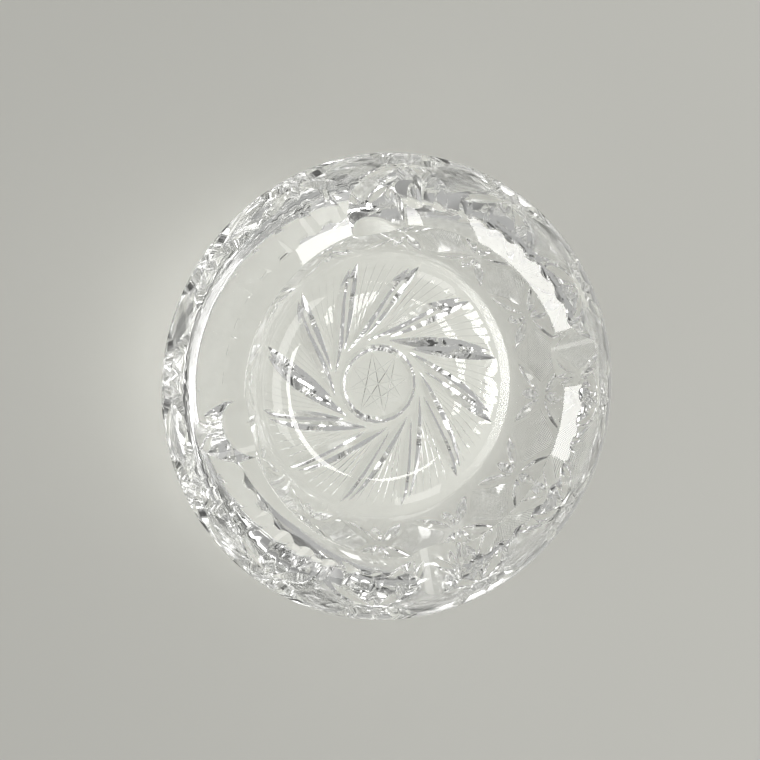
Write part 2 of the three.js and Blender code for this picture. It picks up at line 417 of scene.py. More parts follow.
# ---- small mesh helpers ------------------------------------------------------------------------


def outward(mesh: bpy.types.Mesh) -> None:
    """Turns every face of a closed mesh outward.

    Args:
        mesh: the mesh, changed in place.
    """
    work = bmesh.new()
    work.from_mesh(mesh)
    bmesh.ops.recalc_face_normals(work, faces=work.faces)
    if work.calc_volume(signed=True) < 0:
        bmesh.ops.reverse_faces(work, faces=work.faces)
    work.to_mesh(mesh)
    work.free()


def joined(parts: Iterable[Polygons], kind: Face) -> bpy.types.Mesh:
    """One mesh of several closed cutters that don't touch each other.

    Args:
        parts: the cutters.
        kind: the surface that they leave.

    Returns:
        The mesh, its faces outward.
    """
    verts: list[Vector] = []
    faces: list[tuple[int, ...]] = []
    for points, polygons in parts:
        first = len(verts)
        verts += points
        faces += [tuple(first + i for i in polygon) for polygon in polygons]
    mesh = bpy.data.meshes.new("cutters")
    mesh.from_pydata(verts, [], faces)
    mesh.polygons.foreach_set("material_index", [int(kind)] * len(faces))
    outward(mesh)
    return mesh


def round_about(part: Polygons, count: int, first: float = 0.0) -> list[Polygons]:
    """Copies of a cutter at equal turns round the Z axis, the first at `first` degrees.

    Args:
        part: the cutter.
        count: how many copies.
        first: degrees of the first.

    Returns:
        The copies.
    """
    points, faces = part
    copies = []
    for i in range(count):
        turn = Matrix.Rotation(math.radians(first + 360 * i / count), 4, "Z")
        copies.append(([turn @ p for p in points], faces))
    return copies


def tube(sections: Sequence[Sequence[Vector]]) -> Polygons:
    """A closed solid through a run of like sections, capped at both ends.

    Args:
        sections: the sections, each with the same number of points.

    Returns:
        The solid.
    """
    sides = len(sections[0])
    points = [p for section in sections for p in section]
    faces: list[tuple[int, ...]] = [tuple(range(sides))]
    for i in range(len(sections) - 1):
        for k in range(sides):
            a, b = i * sides + k, i * sides + (k + 1) % sides
            faces.append((a, a + sides, b + sides, b))
    last = (len(sections) - 1) * sides
    faces.append(tuple(last + k for k in reversed(range(sides))))
    return points, faces


def posed(part: Polygons, centre: Vector, run: Vector, off: Vector) -> Polygons:
    """A cutter made along X with its surface at z = 0, put on a surface point.

    Args:
        part: the cutter.
        centre: the surface point.
        run: the way the cut runs.
        off: the way out of the glass.

    Returns:
        The cutter in its place.
    """
    along = run.normalized()
    up = (off - along * off.dot(along)).normalized()
    side = up.cross(along)
    pose = Matrix((along, side, up)).transposed().to_4x4()
    pose.translation = centre
    points, faces = part
    return [pose @ p for p in points], faces


@dataclass
class Lathe:
    """Holds the glass while it is cut, and swaps in each result.

    Attributes:
        glass: the dish so far.
    """

    glass: bpy.types.Mesh

    def cut(self, cutter: bpy.types.Mesh) -> None:
        """Takes a mesh of cutters out of the glass.

        Args:
            cutter: the cutters. The mesh is used up.
        """
        scene = bpy.context.scene.collection.objects
        work = bpy.data.objects.new("glass_in_work", self.glass)
        tool = bpy.data.objects.new("cutter_in_work", cutter)
        scene.link(work)
        scene.link(tool)
        step = work.modifiers.new("cut", "BOOLEAN")
        step.operation = "DIFFERENCE"
        step.solver = "MANIFOLD"
        step.object = tool
        graph = bpy.context.evaluated_depsgraph_get()
        result = bpy.data.meshes.new_from_object(work.evaluated_get(graph))
        bpy.data.objects.remove(work)
        bpy.data.objects.remove(tool)
        bpy.data.meshes.remove(cutter)
        bpy.data.meshes.remove(self.glass)
        self.glass = result


# ---- the cuts ----------------------------------------------------------------------------------


@dataclass(frozen=True)
class Mitre:
    """A V-edged wheel's cut in a surface.

    Attributes:
        length: from where the wheel enters to where it leaves.
        width: across the cut at its middle.
        depth_share: depth as a share of the width.
        proud: how far the cutter stands out of the surface.
        steps: stations along the cut.
    """

    length: float
    width: float
    depth_share: float = CUT_DEPTH_SHARE
    proud: float = 1.2
    steps: int = 24

    def keel(self) -> Polygons:
        """The wheel's path as a solid along X, with the glass surface at z = 0.

        Returns:
            The cutter.
        """
        depth = self.width * self.depth_share
        flank = self.width / 2 / depth
        wheel = (self.length**2 / 4 + depth**2) / (2 * depth)
        sections = []
        for i in range(self.steps + 1):
            x = -self.length / 2 + self.length * i / self.steps
            z = wheel - depth - math.sqrt(wheel**2 - x**2)
            half = (self.proud - z) * flank
            brim = [Vector((x, half, self.proud)), Vector((x, -half, self.proud))]
            sections.append([Vector((x, 0, z)), *brim])
        return tube(sections)


@dataclass
class WallFrame:
    """Finds places on the lower wall by distance round it and up it from the star row.

    Attributes:
        blank: the turned blank.
        level: height of the star centres.
        probe: distance over which a direction is measured.
    """

    blank: Blank
    level: float
    probe: float = 0.05

    def spot(self, around: float, rise: float, off: float = 0.0) -> Vector:
        """A point `around` mm from +X and `rise` mm up the wall, `off` mm outside it.

        Args:
            around: distance round the wall at the star centres.
            rise: distance up the wall from them.
            off: distance out of the wall.

        Returns:
            The point.
        """
        arc = self.blank.lower
        cx, cz = arc.centre
        start = math.asin((self.level - cz) / arc.radius)
        turn = start + rise / arc.radius
        r = cx + (arc.radius + off) * math.cos(turn)
        round_turn = around / (cx + arc.radius * math.cos(start))
        level = cz + (arc.radius + off) * math.sin(turn)
        return Vector((r * math.cos(round_turn), r * math.sin(round_turn), level))

    def axes(self, around: float, rise: float) -> tuple[Vector, Vector, Vector]:
        """Directions up the wall, round it and out of it at a place.

        Args:
            around: distance round the wall.
            rise: distance up it.

        Returns:
            Three unit directions.
        """
        here = self.spot(around, rise)
        up = (self.spot(around, rise + self.probe) - here).normalized()
        across = (self.spot(around + self.probe, rise) - here).normalized()
        out = (self.spot(around, rise, self.probe) - here).normalized()
        return up, across, out


@dataclass
class StarRow:
    """Twelve six-petalled stars round the lower wall, with hatched lozenges between them.

    Attributes:
        blank: the turned blank.
        count: stars in the row.
        first: where the first star's centre is, in degrees from +X.
        base_gap: uncut wall under the lowest petal tips.
        hub_gap: uncut glass between a star's centre and its petals.
        cross_turns: degrees of the long petals from straight up the wall.
        cross_reach: from the star's centre to a long petal's tip.
        cross_width: of a long petal.
        upright_turns: the same, for the short petals.
        upright_reach: from the star's centre to a short petal's tip.
        upright_width: of a short petal.
    """

    blank: Blank
    count: int = 12
    first: float = 15.0
    base_gap: float = 4.2
    hub_gap: float = 1.2
    cross_turns: tuple[float, ...] = (50.0, -50.0, 130.0, -130.0)
    cross_reach: float = 17.6
    cross_width: float = 3.9
    upright_turns: tuple[float, ...] = (0.0, 180.0)
    upright_reach: float = 9.5
    upright_width: float = 4.4

    @property
    def level(self) -> float:
        """Height of the star centres."""
        lowest = -math.cos(math.radians(max(self.cross_turns))) * self.cross_reach
        lower = self.blank.lower
        return (self.base_gap + lowest) * (lower.end[1] - lower.start[1]) / lower.chord

    @property
    def wall(self) -> WallFrame:
        """The wall, measured from the star centres."""
        return WallFrame(self.blank, self.level)

    def petal(self, turn: float, reach: float, width: float) -> Polygons:
        """The cutter of one petal of the star over +X.

        Args:
            turn: degrees from straight up the wall.
            reach: from the star's centre to the tip.
            width: of the petal.

        Returns:
            The cutter.
        """
        middle = (reach + self.hub_gap) / 2
        up_share, side_share = math.cos(math.radians(turn)), math.sin(math.radians(turn))
        around, rise = middle * side_share, middle * up_share
        up, across, out = self.wall.axes(around, rise)
        cut = Mitre(reach - self.hub_gap, width)
        return posed(cut.keel(), self.wall.spot(around, rise), up * up_share + across * side_share, out)

    def cut(self, lathe: Lathe) -> None:
        """Cuts every star.

        Args:
            lathe: holds the glass.
        """
        petals = [(t, self.cross_reach, self.cross_width) for t in self.cross_turns]
        petals += [(t, self.upright_reach, self.upright_width) for t in self.upright_turns]
        for turn, reach, width in petals:
            cutters = round_about(self.petal(turn, reach, width), self.count, self.first)
            lathe.cut(joined(cutters, Face.CUT))


@dataclass
class HatchFields:
    """Lozenges of fine crossing V cuts between the stars.

    Attributes:
        stars: the row that the fields sit between.
        pitch: from one fine cut to the next.
        depth: of each fine cut.
        half_width: of a lozenge, round the wall.
        half_height: of a lozenge, up the wall.
        lean: degrees each set of cuts leans from straight up.
        steps: stations along a fine cut.
        proud: how far its cutter stands out of the wall.
        run_out: share of a cut over which it fades at each end.
        half_share: half a cut's width as a share of the pitch.
        least: share of the depth that is left at the very ends.
        spare: height of its cutter's upright flank above the wall.
    """

    stars: StarRow
    pitch: float = 0.66
    depth: float = 0.17
    half_width: float = 12.2
    half_height: float = 10.8
    lean: float = 45.0
    steps: int = 8
    proud: float = 0.5
    run_out: float = 0.22
    half_share: float = 0.49
    least: float = 0.02
    spare: float = 0.03

    def extent(self, offset: float, lean: float) -> tuple[float, float] | None:
        """Where a fine cut at an offset enters and leaves its lozenge, measured along it.

        Args:
            offset: of the cut from the lozenge's middle.
            lean: of the cut, in radians.

        Returns:
            The two distances, or None where the cut would be too short.
        """
        along = (math.sin(lean), math.cos(lean))
        aside = (math.cos(lean) * offset, -math.sin(lean) * offset)
        low, high = -math.inf, math.inf
        for sx in (-1, 1):
            for sy in (-1, 1):
                n = (sx / self.half_width, sy / self.half_height)
                rate = n[0] * along[0] + n[1] * along[1]
                room = 1 - n[0] * aside[0] - n[1] * aside[1]
                if abs(rate) < TINY:
                    continue
                bound = room / rate
                if rate > 0:
                    high = min(high, bound)
                else:
                    low = max(low, bound)
        return (low, high) if high - low > 2 * self.pitch else None

    def groove(self, offset: float, lean: float) -> Polygons | None:
        """One fine cut's solid, lying on the wall's curve.

        Args:
            offset: of the cut from the lozenge's middle.
            lean: of the cut, in radians.

        Returns:
            The cutter, or None where there is no cut.
        """
        span = self.extent(offset, lean)
        if span is None:
            return None
        half = self.pitch * self.half_share
        wall = self.stars.wall
        sections = []
        for i in range(self.steps + 1):
            share = i / self.steps
            t = span[0] + (span[1] - span[0]) * share
            fade = min(1.0, share / self.run_out, (1 - share) / self.run_out)
            bottom = self.depth * (self.least + (1 - self.least) * fade)
            flank = self.depth - bottom + self.spare
            profile = ((0.0, -bottom), (half, flank), (half, self.proud), (-half, self.proud), (-half, flank))
            sections.append([wall.spot(
                math.sin(lean) * t + math.cos(lean) * (offset + aside),
                math.cos(lean) * t - math.sin(lean) * (offset + aside), off)
                for aside, off in profile])
        return tube(sections)

    def cut(self, lathe: Lathe) -> None:
        """Cuts both leans of every lozenge.

        Args:
            lathe: holds the glass.
        """
        reach = math.hypot(self.half_width, self.half_height)
        lines = int(reach / self.pitch)
        for lean in (math.radians(self.lean), -math.radians(self.lean)):
            cutters: list[Polygons] = []
            for k in range(-lines, lines + 1):
                one = self.groove((k + 0.5) * self.pitch, lean)
                if one is not None:
                    half_turn = 180 / self.stars.count
                    cutters += round_about(one, self.stars.count, self.stars.first + half_turn)
            lathe.cut(joined(cutters, Face.HATCH))


@dataclass
class FlutedRim:
    """Flutes over the rim's outer edge, and the four rests across the rim.

    Attributes:
        blank: the turned blank.
        flutes: how many go round.
        bite: how far a flute reaches into the rim.
        length: how far it runs down the wall.
        flute_sides: sides of a flute's round cutter.
        rests: how many there are, the first over +X.
        rest_width: across a rest at the lip.
        rest_depth: of a rest at the lip.
        rest_fall: degrees it slopes down and outward.
        rest_sides: sides of its round cutter.
        rest_spare: how far its cutter reaches past the widest circle.
        groups: turns in which the flutes are cut, so that no two cutters touch.
    """

    blank: Blank
    flutes: int = 44
    bite: float = 1.1
    length: float = 8.0
    flute_sides: int = 96
    rests: int = 4
    rest_width: float = 18.0
    rest_depth: float = 4.5
    rest_fall: float = 5.0
    rest_sides: int = 160
    rest_spare: float = 1.5
    groups: int = 4

    @staticmethod
    def bar(radius: float, length: float, sides: int) -> Polygons:
        """A round bar along X, centred on the origin.

        Args:
            radius: of the bar.
            length: of the bar.
            sides: of its section.

        Returns:
            The bar.
        """
        ends = []
        for x in (-length / 2, length / 2):
            ends.append([Vector((x, radius * math.cos(2 * math.pi * k / sides),
                                 radius * math.sin(2 * math.pi * k / sides))) for k in range(sides)])
        return tube(ends)

    def flute(self) -> Polygons:
        """One flute's bar: it fades out on the wall below the rim.

        Returns:
            The cutter over +X.
        """
        half = math.pi * self.blank.rim_radius / self.flutes
        radius = (half**2 + self.bite**2) / (2 * self.bite)
        upper = self.blank.upper
        down = ((upper.start[0] - upper.end[0]) / upper.chord, (upper.start[1] - upper.end[1]) / upper.chord)
        off = (-down[1], down[0])
        top = (self.blank.rim_radius - self.bite, self.blank.height)
        foot = (upper.end[0] + down[0] * self.length + off[0] * self.blank.upper_bulge,
                upper.end[1] + down[1] * self.length + off[1] * self.blank.upper_bulge)
        size = math.dist(top, foot)
        run = Vector(((foot[0] - top[0]) / size, 0.0, (foot[1] - top[1]) / size))
        out = Vector((-run.z, 0.0, run.x))
        centre = Vector((top[0], 0.0, top[1])) + out * radius
        return posed(self.bar(radius, 4 * (self.length + radius), self.flute_sides), centre, run, out)

    def rest(self) -> Polygons:
        """One rest's bar, over +X.

        Returns:
            The cutter.
        """
        half = self.rest_width / 2
        radius = (half**2 + self.rest_depth**2) / (2 * self.rest_depth)
        fall = math.radians(self.rest_fall)
        run = Vector((math.cos(fall), 0.0, -math.sin(fall)))
        out = Vector((math.sin(fall), 0.0, math.cos(fall)))
        lip = Vector((self.blank.opening_radius, 0.0, self.blank.height - self.rest_depth))
        length = 2 * (self.blank.outer_radius - self.blank.opening_radius + self.rest_spare)
        return posed(self.bar(radius, length, self.rest_sides), lip + out * radius, run, out)

    def cut(self, lathe: Lathe) -> None:
        """Cuts the flutes, in turns that don't touch each other, and then the rests.

        Args:
            lathe: holds the glass.
        """
        flute = self.flute()
        pitch = 360 / self.flutes
        for group in range(self.groups):
            cutters = round_about(flute, self.flutes // self.groups, pitch * (group + 0.5))
            lathe.cut(joined(cutters, Face.CUT))
        lathe.cut(joined(round_about(self.rest(), self.rests), Face.CUT))


@dataclass(frozen=True)
class VaneCut:
    """One straight cut of a vane.

    Attributes:
        swing: how far its line passes outside the hub ring's centre line.
        lead: how far beyond that line the cut starts.
        tip_gap: uncut base between its tip and the foot ring.
        width: across the cut.
    """

    swing: float
    lead: float
    tip_gap: float
    width: float


@dataclass
class Pinwheel:
    """The cuts under the base: twelve vanes, fans of fine lines, and the hub.

    Attributes:
        blank: the turned blank.
        vanes: how many vanes there are, with a fan behind each.
        hub_radius: of the ring round the hub, on its centre line.
        hub_width: across that ring.
        hub_blocks: deeper places round it.
        hub_gap: uncut glass between the ring and the star's tips.
        hub_proud: how far the ring's cutter stands out of the base.
        block_steps: stations in one block of the ring.
        block_depth: share by which the ring is shallower between its blocks.
        block_spread: share by which it is narrower there.
        star_points: tips of the hub's star.
        star_skip: how many tips on a line of the star ends.
        fine_width: of an engraved line.
        cuts: the two cuts of a vane.
        fan_lead: how far outside the ring a fan's root lies.
        fan_root: degrees of that root from the vane's tip.
        fan_tip_gap: uncut base between a line's tip and the foot ring.
        fan_turns: degrees of the lines' tips from the vane's tip.
        fan_gap: uncut glass between the root and the lines.
        coarse_steps: stations along a vane's cut.
        fine_steps: the same, along an engraved line.
    """

    blank: Blank
    vanes: int = 12
    hub_radius: float = 12.3
    hub_width: float = 2.3
    hub_blocks: int = 24
    hub_gap: float = 0.3
    hub_proud: float = 0.8
    block_steps: int = 12
    block_depth: float = 0.18
    block_spread: float = 0.06
    star_points: int = 8
    star_skip: int = 3
    fine_width: float = 0.55
    cuts: tuple[VaneCut, ...] = (VaneCut(2.7, 2.95, 3.9, 4.6), VaneCut(0.3, 4.3, 1.2, 4.2))
    fan_lead: float = 3.0
    fan_root: float = 25.0
    fan_tip_gap: float = 2.5
    fan_turns: tuple[float, ...] = (5.0, 9.5, 14.0, 18.5, 23.0)
    fan_gap: float = 5.0
    coarse_steps: int = 32
    fine_steps: int = 12

    def level(self, radius: float) -> float:
        """Height of the hollow base at a radius."""
        slope = (self.blank.hollow_radius - radius) / (self.blank.hollow_radius - self.blank.hollow_flat)
        return self.blank.hollow * min(1.0, max(0.0, slope))

    def straight(self, start: Vector, end: Vector, width: float) -> Polygons:
        """A cut between two points of the plan, as deep in the hollow's slope as in its flat.

        Args:
            start: one end.
            end: the other end.
            width: across the cut at its middle.

        Returns:
            The cutter.
        """
        a, b = start.to_2d().to_3d(), end.to_2d().to_3d()
        fine = width <= self.fine_width
        depth_share = FINE_DEPTH_SHARE if fine else CUT_DEPTH_SHARE
        steps = self.fine_steps if fine else self.coarse_steps
        cut = Mitre((b - a).length, width, depth_share, steps=steps)
        points, faces = posed(cut.keel(), (a + b) / 2, b - a, Vector((0, 0, -1)))
        for point in points:
            point.z += self.level(math.hypot(point.x, point.y))
        return points, faces

    def vane_cutters(self) -> list[Polygons]:
        """The cuts of the vane whose tip is over +X.

        Returns:
            One cutter for each cut.
        """
        found = []
        for cut in self.cuts:
            offset = self.hub_radius + cut.swing
            first = math.sqrt((self.hub_radius + cut.lead) ** 2 - offset**2)
            last = math.sqrt((self.blank.hollow_radius - cut.tip_gap) ** 2 - offset**2)
            found.append((offset, first, last, cut.width))
        back = math.degrees(math.atan2(found[-1][2], found[-1][0]))
        run = polar(1, back - 90)
        return [self.straight(polar(offset, back) + run * first, polar(offset, back) + run * last, width)
                for offset, first, last, width in found]

    def fan_cutters(self) -> list[Polygons]:
        """The fine lines of the fan behind that vane.

        Returns:
            One cutter for each line.
        """
        root = polar(self.hub_radius + self.fan_lead, self.fan_root)
        lines = []
        for turn in self.fan_turns:
            tip = polar(self.blank.hollow_radius - self.fan_tip_gap, -turn)
            run = (tip - root).normalized()
            lines.append(self.straight(root + run * self.fan_gap, tip, self.fine_width))
        return lines

    def hub_ring(self) -> Polygons:
        """The V-shaped ring round the hub, a little deeper at each of its blocks.

        Returns:
            The cutter.
        """
        half = self.hub_width / 2
        depth = self.hub_width * CUT_DEPTH_SHARE
        proud = self.hub_proud
        level = self.blank.hollow
        steps = self.hub_blocks * self.block_steps
        sections = []
        for i in range(steps):
            turn = 360 * i / steps
            block = 0.5 + 0.5 * math.cos(2 * math.pi * i * self.hub_blocks / steps)
            deep = depth * (1 - self.block_depth * (1 - block))
            wide = (half + proud * half / depth) * (1 - self.block_spread * (1 - block))
            ring = ((self.hub_radius, level + deep), (self.hub_radius + wide, level - proud),
                    (self.hub_radius - wide, level - proud))
            section = []
            for radius, z in ring:
                spot = polar(radius, turn)
                section.append(Vector((spot.x, spot.y, z)))
            sections.append(section)
        points = [p for section in sections for p in section]
        faces = []
        for i in range(steps):
            j = (i + 1) % steps
            for k in range(3):
                m = (k + 1) % 3
                faces.append((3 * i + k, 3 * j + k, 3 * j + m, 3 * i + m))
        return points, faces

    def hub_star(self) -> list[list[Polygons]]:
        """Fine lines of the hub's star, in sets that don't cross within a set.

        Returns:
            The sets of cutters.
        """
        reach = self.hub_radius - self.hub_width / 2 - self.hub_gap
        tips = [polar(reach, 360 * i / self.star_points) for i in range(self.star_points)]
        half = self.star_points // 2
        sets = []
        for i in range(half):
            ends = [(tips[k], tips[(k + self.star_skip) % self.star_points]) for k in (i, i + half)]
            sets.append([self.straight(a, b, self.fine_width) for a, b in ends])
        sets += [[self.straight(tips[i + half], tips[i], self.fine_width)] for i in range(half)]
        return sets

    def cut(self, lathe: Lathe) -> None:
        """Cuts the whole underside.

        Args:
            lathe: holds the glass.
        """
        for cutter in self.vane_cutters() + self.fan_cutters():
            lathe.cut(joined(round_about(cutter, self.vanes), Face.CUT))
        lathe.cut(joined([self.hub_ring()], Face.CUT))
        for lines in self.hub_star():
            lathe.cut(joined(lines, Face.CUT))


# ---- finishes ----------------------------------------------------------------------------------


def add_socket(group: bpy.types.NodeTree, name: str, side: str, value: float | None = None) -> None:
    """Adds a named number, in or out, to a node group.

    Args:
        group: the node group.
        name: the socket's name.
        side: INPUT or OUTPUT.
        value: the number it starts at.
    """
    socket = group.interface.new_socket(name, in_out=side, socket_type="NodeSocketFloat")
    if value is not None:
        socket.default_value = value


@dataclass(frozen=True)
class HandPolish:
    """Node group: the slight waviness, wheel marks and wiped haze of hand-polished glass.

    Attributes:
        name: the group's name.
    """

    name: str = "hand_polish"

    def build(self) -> bpy.types.NodeTree:
        """Makes the group once and returns it.

        Returns:
            The node group.
        """
        if self.name in bpy.data.node_groups:
            return bpy.data.node_groups[self.name]
        group = bpy.data.node_groups.new(self.name, "ShaderNodeTree")
        for name, value in (("Wave Scale", 60.0), ("Mark Scale", 900.0), ("Mark Share", 0.3),
                            ("Clear", 0.0), ("Hazy", 0.04)):
            add_socket(group, name, "INPUT", value)
        add_socket(group, "Height", "OUTPUT")
        add_socket(group, "Roughness", "OUTPUT")
        nodes, links = group.nodes, group.links
        take = nodes.new("NodeGroupInput")
        give = nodes.new("NodeGroupOutput")
        place = nodes.new("ShaderNodeTexCoord")
        wave = nodes.new("ShaderNodeTexNoise")
        wave.inputs["Detail"].default_value = 1.5
        marks = nodes.new("ShaderNodeTexNoise")
        marks.inputs["Detail"].default_value = 3.0
        marks.inputs["Distortion"].default_value = 0.4
        links.new(place.outputs["Object"], wave.inputs["Vector"])
        links.new(place.outputs["Object"], marks.inputs["Vector"])
        links.new(take.outputs["Wave Scale"], wave.inputs["Scale"])
        links.new(take.outputs["Mark Scale"], marks.inputs["Scale"])
        fine = nodes.new("ShaderNodeMath")
        fine.operation = "MULTIPLY"
        links.new(marks.outputs["Fac"], fine.inputs[0])
        links.new(take.outputs["Mark Share"], fine.inputs[1])
        both = nodes.new("ShaderNodeMath")
        both.operation = "ADD"
        links.new(wave.outputs["Fac"], both.inputs[0])
        links.new(fine.outputs[0], both.inputs[1])
        links.new(both.outputs[0], give.inputs["Height"])
        haze = nodes.new("ShaderNodeMapRange")
        haze.inputs["From Min"].default_value = 0.45
        haze.inputs["From Max"].default_value = 0.75
        links.new(marks.outputs["Fac"], haze.inputs["Value"])
        links.new(take.outputs["Clear"], haze.inputs["To Min"])
        links.new(take.outputs["Hazy"], haze.inputs["To Max"])
        links.new(haze.outputs["Result"], give.inputs["Roughness"])
        return group


@dataclass(frozen=True)
class Crystal:
    """Clear lead crystal with one state of polish.

    Attributes:
        name: the material's name.
        tint: colour of the light it lets through at its surface.
        wave: size of the polish's waviness, as a noise scale per metre.
        wave_depth: depth of that waviness in metres.
        mark_scale: size of the wheel's marks, as a noise scale per metre.
        mark_share: their height as a share of the waviness.
        clear: roughness where the polish is best.
        hazy: roughness where it is worst.
        index: refractive index.
    """

    name: str
    tint: tuple[float, float, float]
    wave: float
    wave_depth: float
    mark_scale: float
    mark_share: float
    clear: float
    hazy: float
    index: float = 1.545

    def build(self) -> bpy.types.Material:
        """Makes the material.

        Returns:
            The material.
        """
        material = bpy.data.materials.new(self.name)
        material.use_nodes = True
        nodes, links = material.node_tree.nodes, material.node_tree.links
        shader = nodes["Principled BSDF"]
        shader.inputs["Base Color"].default_value = (*self.tint, 1.0)
        shader.inputs["Metallic"].default_value = 0.0
        shader.inputs["Transmission Weight"].default_value = 1.0
        shader.inputs["IOR"].default_value = self.index
        polish = nodes.new("ShaderNodeGroup")
        polish.node_tree = HandPolish().build()
        polish.inputs["Wave Scale"].default_value = self.wave
        polish.inputs["Mark Scale"].default_value = self.mark_scale
        polish.inputs["Mark Share"].default_value = self.mark_share
        polish.inputs["Clear"].default_value = self.clear
        polish.inputs["Hazy"].default_value = self.hazy
        links.new(polish.outputs["Roughness"], shader.inputs["Roughness"])
        bump = nodes.new("ShaderNodeBump")
        bump.inputs["Strength"].default_value = 1.0
        bump.inputs["Distance"].default_value = self.wave_depth
        links.new(polish.outputs["Height"], bump.inputs["Height"])
        links.new(bump.outputs["Normal"], shader.inputs["Normal"])
        self.let_lamps_through(material)
        return material

    def let_lamps_through(self, material: bpy.types.Material) -> None:
        """Lets light from the lamps reach the floor under the glass.

        Args:
            material: the material, changed in place.
        """
        nodes, links = material.node_tree.nodes, material.node_tree.links
        path = nodes.new("ShaderNodeLightPath")
        clear = nodes.new("ShaderNodeBsdfTransparent")
        clear.inputs["Color"].default_value = (*self.tint, 1.0)
        either = nodes.new("ShaderNodeMixShader")
        links.new(path.outputs["Is Shadow Ray"], either.inputs["Fac"])
        links.new(nodes["Principled BSDF"].outputs["BSDF"], either.inputs[1])
        links.new(clear.outputs["BSDF"], either.inputs[2])
        links.new(either.outputs["Shader"], nodes["Material Output"].inputs["Surface"])


CLEAR = (0.985, 0.99, 0.986)
GREYED = (0.95, 0.955, 0.95)

FINISHES: dict[Finish, Crystal] = {
    Finish.POLISHED: Crystal(
        "crystal_polished", CLEAR, wave=42.0, wave_depth=0.00005, mark_scale=1200.0, mark_share=0.01,
        clear=0.0, hazy=0.012),
    Finish.WHEEL_CUT: Crystal(
        "crystal_wheel_cut", CLEAR, wave=160.0, wave_depth=0.00003, mark_scale=2600.0, mark_share=0.06,
        clear=0.0, hazy=0.03),
    Finish.GROUND: Crystal(
        "crystal_ground_foot", GREYED, wave=90.0, wave_depth=0.00003, mark_scale=5200.0, mark_share=0.8,
        clear=0.05, hazy=0.3),
}


# ---- the dish ----------------------------------------------------------------------------------


@dataclass
class CutCrystalDish:
    """The whole dish: one lump of glass.

    Attributes:
        outer_radius: the widest circle, in millimetres.
        height: base to rim, in millimetres.
        sharp_degrees: faces that meet more sharply than this show an edge.
        agreement: how nearly a turned face must lie along the turned surface to take its normal.
        blank: the turned blank, of those two sizes.
    """

    outer_radius: float
    height: float
    sharp_degrees: float = 17.0
    agreement: float = 0.8
    blank: Blank = field(init=False)

    def __post_init__(self) -> None:
        """Sets the blank up from the overall sizes."""
        self.blank = Blank(self.outer_radius, self.height)

    def build(self) -> bpy.types.Object:
        """Turns, cuts and dresses the glass.

        Returns:
            The finished dish, in metres.
        """
        lathe = Lathe(self.blank.build())
        LOG.info("turned blank: %d faces", len(lathe.glass.polygons))
        stars = StarRow(self.blank)
        steps: list[tuple[str, Callable[[Lathe], None]]] = [
            ("hatched fields", HatchFields(stars).cut),
            ("stars", stars.cut),
            ("rim", FlutedRim(self.blank).cut),
            ("pinwheel", Pinwheel(self.blank).cut),
        ]
        for name, cut in steps:
            cut(lathe)
            LOG.info("%s: %d faces", name, len(lathe.glass.polygons))
        mesh = lathe.glass
        mesh.name = PIECE
        self.shade(mesh)
        mesh.transform(Matrix.Scale(MM, 4))
        dish = bpy.data.objects.new(PIECE, mesh)
        bpy.context.scene.collection.objects.link(dish)
        return dish

    def shade(self, mesh: bpy.types.Mesh) -> None:
        """Gives turned faces their exact normals, and every face its finish.

        Args:
            mesh: the cut glass, in millimetres.
        """
        mesh.shade_smooth()
        mesh.set_sharp_from_angle(angle=math.radians(self.sharp_degrees))
        own = [Vector(corner.vector) for corner in mesh.corner_normals]
        finish: list[int] = []
        for face in mesh.polygons:
            kind = Face(face.material_index)
            for loop in face.loop_indices:
                spot = mesh.vertices[mesh.loops[loop].vertex_index].co
                exact = self.blank.true_normal(kind, spot)
                if exact is not None and exact.dot(face.normal) > self.agreement:
                    own[loop] = exact
            if kind in (Face.CUT, Face.HATCH):
                finish.append(int(Finish.WHEEL_CUT))
            elif kind == Face.FOOT_RING:
                finish.append(int(Finish.GROUND))
            else:
                finish.append(int(Finish.POLISHED))
        mesh.normals_split_custom_set([tuple(n) for n in own])
        mesh.materials.clear()
        for slot in Finish:
            mesh.materials.append(FINISHES[slot].build())
        mesh.polygons.foreach_set("material_index", finish)
        mesh.update()


# ---- the studio --------------------------------------------------------------------------------


@dataclass(frozen=True)
class SoftBox:
    """One rectangular soft light.

    Attributes:
        name: the light's name.
        place: its middle, in metres, with x along the way the camera leans.
        width: of the light.
        depth: of the light.
        radiance: how bright its face is.
        turn: degrees a light that faces straight down is turned, or None to aim it at the dish.
        colour: of the light.
        aim: the place that a light with no turn faces.
    """

    name: str
    place: tuple[float, float, float]
    width: float
    depth: float
    radiance: float
    turn: float | None = None
    colour: tuple[float, float, float] = (1.0, 0.99, 0.97)
    aim: tuple[float, float, float] = (0.0, 0.0, 0.02)

    def build(self, camera_turn: float) -> bpy.types.Object:
        """Makes the light.

        Args:
            camera_turn: degrees the camera stands round the dish's axis.

        Returns:
            The light, in the scene.
        """
        data = bpy.data.lights.new(self.name, "AREA")
        data.shape = "RECTANGLE"
        data.size = self.width
        data.size_y = self.depth
        data.energy = self.radiance * math.pi * self.width * self.depth
        data.color = self.colour
        light = bpy.data.objects.new(self.name, data)
        place = Matrix.Rotation(math.radians(camera_turn), 3, "Z") @ Vector(self.place)
        light.location = place
        if self.turn is None:
            light.rotation_euler = (Vector(self.aim) - place).to_track_quat("-Z", "Y").to_euler()
        else:
            light.rotation_euler.z = math.radians(camera_turn + self.turn)
        bpy.context.scene.collection.objects.link(light)
        return light


